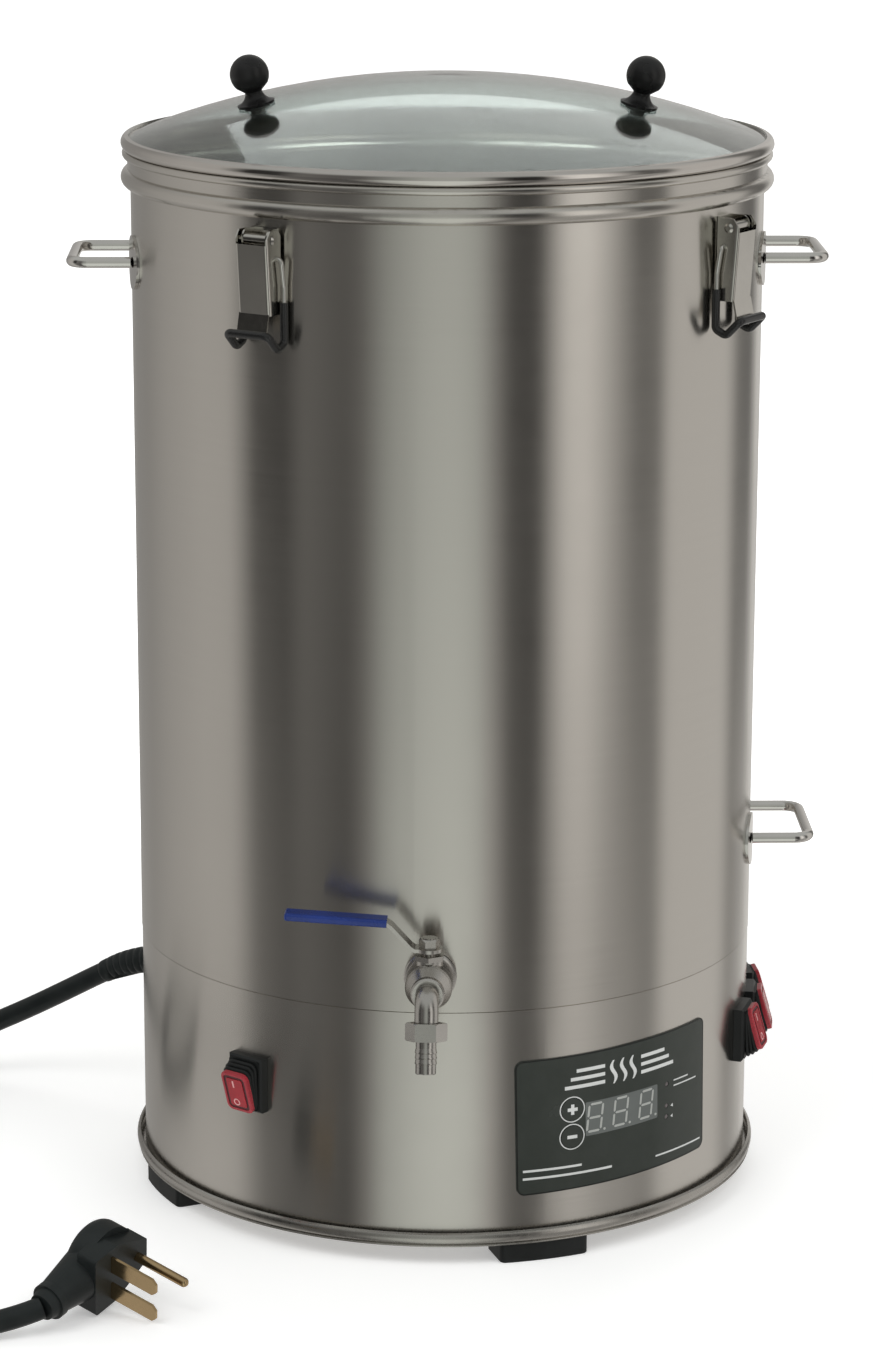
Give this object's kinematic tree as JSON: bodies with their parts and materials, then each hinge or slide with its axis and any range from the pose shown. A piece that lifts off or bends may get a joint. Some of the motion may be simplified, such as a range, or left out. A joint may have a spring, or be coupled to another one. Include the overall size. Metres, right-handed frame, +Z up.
{
  "type": "electric brew kettle",
  "caption": "Tall cylindrical stainless brew kettle with a domed glass lid, ball-valve tap, draw latches, wire handles, heated base with control panel, rocker switches and mains cord.",
  "frame": {"origin": "on the pot's axis, at the level of the floor under the rubber feet", "axes": "+Z up along the pot's axis, -Y to the front, where the tap is, +X to the right of somebody who faces the tap"},
  "size_m": [0.7454, 0.5491, 0.7348],
  "materials": {
    "satin_steel": "fine horizontal grain, satin",
    "polished_steel": "polished stainless steel",
    "screw_steel": "plain",
    "element_steel": "dull",
    "cast_aluminium": "cast",
    "black_rubber": "matt",
    "cord_rubber": "semi-matt",
    "plug_rubber": "matt moulded",
    "black_plastic": "matt",
    "panel_film": "printed overlay",
    "display_film": "clear window, unlit digits",
    "display_block": "moulded",
    "board": "printed circuit board",
    "red_plastic": "translucent red lens",
    "latch_wire": "polished wire with a black rubber sleeve",
    "white_ptfe": "ptfe and silicone",
    "blue_vinyl": "dipped vinyl",
    "lid_glass": "clear tempered glass",
    "knob_phenolic": "black phenolic",
    "pin_brass": "machined",
    "wire_jacket": "silicone jacket"
  },
  "bodies": {
    "kettle": {"boiler_shell": "satin_steel", "boiler_floor": "satin_steel", "base_skirt": "satin_steel", "bottom_pan": "satin_steel", "rubber_feet": "black_rubber", "foot_screws": "screw_steel", "heat_spreader": "cast_aluminium", "heating_elements": "element_steel", "temperature_probe": "element_steel", "thermal_cutout": "black_plastic", "control_panel": "panel_film", "display_window": "display_film", "display_module": "display_block", "controller_board": "board", "controller_case": "black_plastic", "switch_housings": "black_plastic", "switch_boots": "black_rubber", "handles": "polished_steel", "handle_plates": "polished_steel", "latch_brackets": "polished_steel", "latch_pins": "polished_steel", "valve_bulkhead": "polished_steel", "valve_locknut": "polished_steel", "valve_seals": "white_ptfe", "valve_body": "polished_steel", "outlet_elbow": "polished_steel", "outlet_nut": "polished_steel", "hose_tail": "polished_steel", "cord_gland": "black_plastic", "power_cord": "cord_rubber", "cord_coil": "cord_rubber", "plug_body": "plug_rubber", "plug_pins": "pin_brass", "wiring_harness": "wire_jacket"},
    "lid": {"lid_glass": "lid_glass", "lid_rim": "polished_steel", "lid_knobs": "knob_phenolic", "lid_knob_seats": "knob_phenolic", "lid_knob_screws": "screw_steel"},
    "valve_handle": {"valve_ball": "polished_steel", "valve_stem": "polished_steel", "valve_lever": "polished_steel", "valve_lever_sleeve": "blue_vinyl", "valve_lever_nut": "polished_steel"},
    "plus_key": {"button_plus": "panel_film"},
    "minus_key": {"button_minus": "panel_film"},
    "reset_key": {"reset_button": "red_plastic"},
    "rocker_1": {"switch_rocker_1": "red_plastic"},
    "lever_1": {"latch_lever_1": "polished_steel"},
    "bail_1": {"latch_bail_1": "latch_wire"},
    "rocker_2": {"switch_rocker_2": "red_plastic"},
    "lever_2": {"latch_lever_2": "polished_steel"},
    "bail_2": {"latch_bail_2": "latch_wire"},
    "rocker_3": {"switch_rocker_3": "red_plastic"},
    "lever_3": {"latch_lever_3": "polished_steel"},
    "bail_3": {"latch_bail_3": "latch_wire"},
    "rocker_4": {"switch_rocker_4": "red_plastic"},
    "lever_4": {"latch_lever_4": "polished_steel"},
    "bail_4": {"latch_bail_4": "latch_wire"}
  },
  "joints": [
    {"name": "lid_lift", "type": "slide", "parent": "kettle", "child": "lid", "axis": [0, 0, 1], "range_m": [0, 0.3]},
    {"name": "valve_turn", "type": "hinge", "parent": "kettle", "child": "valve_handle", "pos_m": [0, -0.218, 0.19], "axis": [0, 0, 1], "range_deg": [0, 90]},
    {"name": "plus_press", "type": "slide", "parent": "kettle", "child": "plus_key", "axis": [-0.4368, 0.8996, 0], "range_m": [0, 0.0006], "stiffness_N_per_m": 400},
    {"name": "minus_press", "type": "slide", "parent": "kettle", "child": "minus_key", "axis": [-0.4368, 0.8996, 0], "range_m": [0, 0.0006], "stiffness_N_per_m": 400},
    {"name": "reset_press", "type": "slide", "parent": "kettle", "child": "reset_key", "axis": [0, 0, 1], "range_m": [0, 0.0015], "stiffness_N_per_m": 400},
    {"name": "rocker_1_tilt", "type": "hinge", "parent": "kettle", "child": "rocker_1", "pos_m": [-0.11483, -0.16399, 0.1054], "axis": [0.8192, -0.5736, 0], "range_deg": [-33, 0]},
    {"name": "rocker_2_tilt", "type": "hinge", "parent": "kettle", "child": "rocker_2", "pos_m": [0.19425, -0.04843, 0.1054], "axis": [0.2419, 0.9703, 0], "range_deg": [0, 33]},
    {"name": "rocker_3_tilt", "type": "hinge", "parent": "kettle", "child": "rocker_3", "pos_m": [0.19994, -0.01013, 0.1054], "axis": [0.0506, 0.9987, 0], "range_deg": [0, 33]},
    {"name": "rocker_4_tilt", "type": "hinge", "parent": "kettle", "child": "rocker_4", "pos_m": [0.19815, 0.02855, 0.1054], "axis": [-0.1426, 0.9898, 0], "range_deg": [0, 33]},
    {"name": "latch_1_lever", "type": "hinge", "parent": "kettle", "child": "lever_1", "pos_m": [-0.10475, -0.18143, 0.6387], "axis": [-0.866, 0.5, 0], "range_deg": [0, 90]},
    {"name": "latch_2_lever", "type": "hinge", "parent": "kettle", "child": "lever_2", "pos_m": [0.18143, -0.10475, 0.6387], "axis": [-0.5, -0.866, 0], "range_deg": [0, 90]},
    {"name": "latch_3_lever", "type": "hinge", "parent": "kettle", "child": "lever_3", "pos_m": [0.10475, 0.18143, 0.6387], "axis": [0.866, -0.5, 0], "range_deg": [0, 90]},
    {"name": "latch_4_lever", "type": "hinge", "parent": "kettle", "child": "lever_4", "pos_m": [-0.18143, 0.10475, 0.6387], "axis": [0.5, 0.866, 0], "range_deg": [0, 90]},
    {"name": "latch_1_bail", "type": "hinge", "parent": "lever_1", "child": "bail_1", "pos_m": [-0.103, -0.1784, 0.6275], "axis": [-0.866, 0.5, 0], "range_deg": [0, 75]},
    {"name": "latch_2_bail", "type": "hinge", "parent": "lever_2", "child": "bail_2", "pos_m": [0.1784, -0.103, 0.6275], "axis": [-0.5, -0.866, 0], "range_deg": [0, 75]},
    {"name": "latch_3_bail", "type": "hinge", "parent": "lever_3", "child": "bail_3", "pos_m": [0.103, 0.1784, 0.6275], "axis": [0.866, -0.5, 0], "range_deg": [0, 75]},
    {"name": "latch_4_bail", "type": "hinge", "parent": "lever_4", "child": "bail_4", "pos_m": [-0.1784, 0.103, 0.6275], "axis": [0.5, 0.866, 0], "range_deg": [0, 75]}
  ]
}
